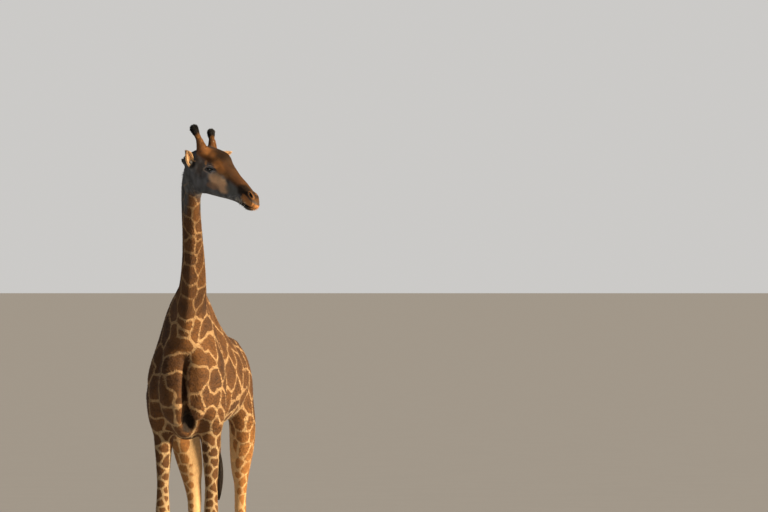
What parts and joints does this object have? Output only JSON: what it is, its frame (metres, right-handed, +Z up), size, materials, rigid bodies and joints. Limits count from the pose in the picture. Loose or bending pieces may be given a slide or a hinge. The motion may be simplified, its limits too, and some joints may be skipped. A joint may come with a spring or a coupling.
{
  "type": "giraffe",
  "caption": "Standing giraffe with its head turned to its left, life size, for museum-like display on a flat floor.",
  "frame": {"origin": "centre of the bounding box on the floor", "axes": "+Z up, the giraffe faces -Y, +X is its left"},
  "size_m": [1.2128, 2.846, 4.2281],
  "materials": {
    "coat": "short flat hair, brown patches on cream",
    "face_skin": "short flat hair, brown bridge and grey cheek",
    "ear_skin": "short pale hair",
    "horn_skin": "haired, black knob",
    "hoof": "horn, satin",
    "eye": "wet, glossy",
    "mane_hair": "short stiff hair",
    "tail_hair": "long coarse hair"
  },
  "bodies": {
    "root": {"trunk": "coat", "neck": "coat", "mane": "mane_hair", "head": "face_skin", "ear_left": "ear_skin", "ear_right": "ear_skin", "eye_left": "eye", "eye_right": "eye", "ossicone_left": "horn_skin", "ossicone_right": "horn_skin", "foreleg_upper_left": "coat", "foreleg_upper_right": "coat", "foreleg_lower_left": "coat", "foreleg_lower_right": "coat", "hindleg_upper_left": "coat", "hindleg_upper_right": "coat", "hindleg_lower_left": "coat", "hindleg_lower_right": "coat", "hoof_fore_left_outer": "hoof", "hoof_fore_left_inner": "hoof", "hoof_fore_right_outer": "hoof", "hoof_fore_right_inner": "hoof", "hoof_hind_left_outer": "hoof", "hoof_hind_left_inner": "hoof", "hoof_hind_right_outer": "hoof", "hoof_hind_right_inner": "hoof", "tail": "coat", "tail_tuft": "tail_hair"}
  },
  "joints": []
}
